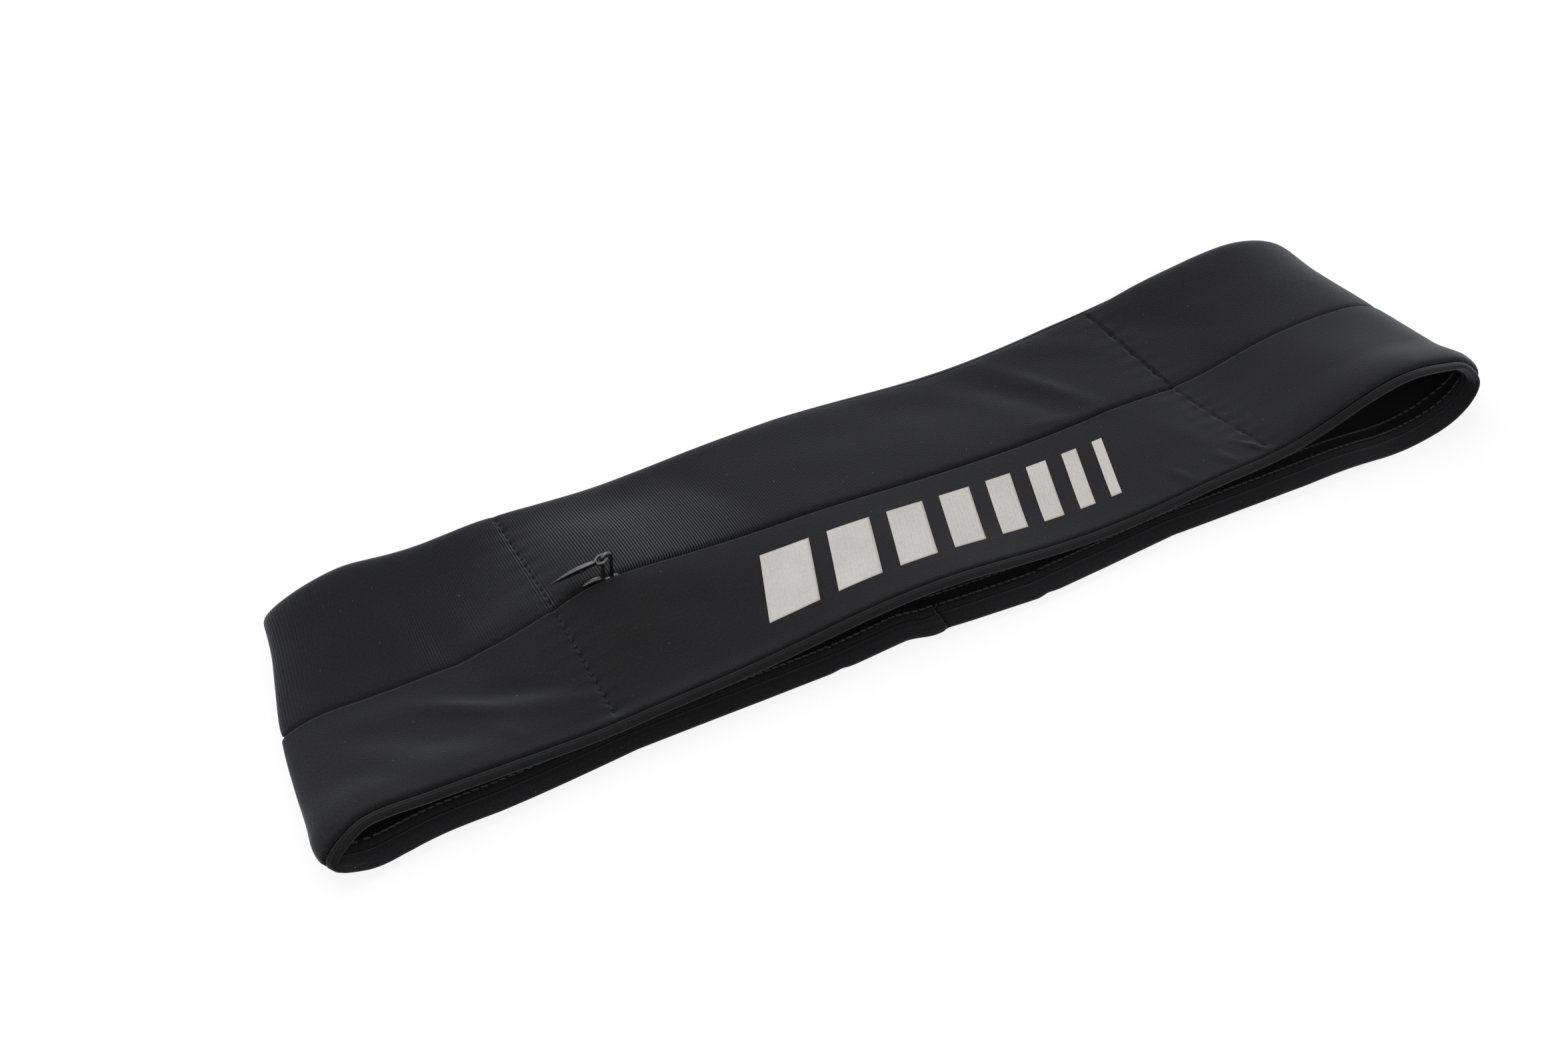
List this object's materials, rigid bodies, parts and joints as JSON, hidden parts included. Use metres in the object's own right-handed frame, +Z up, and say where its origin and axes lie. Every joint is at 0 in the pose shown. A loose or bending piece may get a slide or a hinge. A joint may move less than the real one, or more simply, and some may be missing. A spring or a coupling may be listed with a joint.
{
  "type": "money belt",
  "caption": "Tubular stretch-knit money belt lying flat as a closed loop, with an invisible-zip pocket, sliding zip slider and swinging puller.",
  "frame": {"origin": "middle of the belt's footprint, on the surface it lies on", "axes": "+X along the flattened belt towards its open loop end, +Y across its width towards its upper edge, +Z up"},
  "size_m": [0.412, 0.1, 0.0297],
  "materials": {
    "outer_knit": "matte black stretch knit with a fine rib",
    "lining_knit": "matte black stretch knit",
    "facing_knit": "matte black stretch knit",
    "seam_knit": "matte black seam allowance",
    "elastic": "black woven elastic",
    "ribbed_tape": "black ribbed tape",
    "thread": "black polyester thread",
    "zip_tape": "black woven zip tape",
    "coil": "black nylon coil",
    "stop_metal": "black enamel",
    "slider_enamel": "glossy black enamel",
    "puller_enamel": "glossy black enamel",
    "film": "light grey reflective heat-transfer film"
  },
  "bodies": {
    "belt": {"upper_outer_panel": "outer_knit", "lower_outer_panel": "outer_knit", "inner_panel": "lining_knit", "upper_rim_facing": "facing_knit", "lower_rim_facing": "facing_knit", "upper_rim_elastic": "elastic", "lower_rim_elastic": "elastic", "upper_ribbed_tape": "ribbed_tape", "lower_ribbed_tape": "ribbed_tape", "upper_cover_stitching": "thread", "lower_cover_stitching": "thread", "centre_seam": "seam_knit", "back_join_tape": "ribbed_tape", "left_pocket_stitching": "thread", "right_pocket_stitching": "thread", "left_back_stitching": "thread", "right_back_stitching": "thread", "reflective_film": "film", "upper_zip_tape": "zip_tape", "lower_zip_tape": "zip_tape", "upper_zip_coil": "coil", "lower_zip_coil": "coil", "upper_top_stop": "stop_metal", "lower_top_stop": "stop_metal", "bottom_stop": "stop_metal"},
    "slider": {"slider_body": "slider_enamel", "slider_bridge": "slider_enamel"},
    "pull": {"puller": "puller_enamel"}
  },
  "joints": [
    {"name": "zip_slide", "type": "slide", "parent": "belt", "child": "slider", "axis": [0.9996, 0, -0.0273], "range_m": [0, 0.2013]},
    {"name": "puller_swing", "type": "hinge", "parent": "slider", "child": "pull", "pos_m": [-0.10278, 0, 0.02802], "axis": [0.2418, 0.9703, -0.0066], "range_deg": [0, 226.8]}
  ]
}
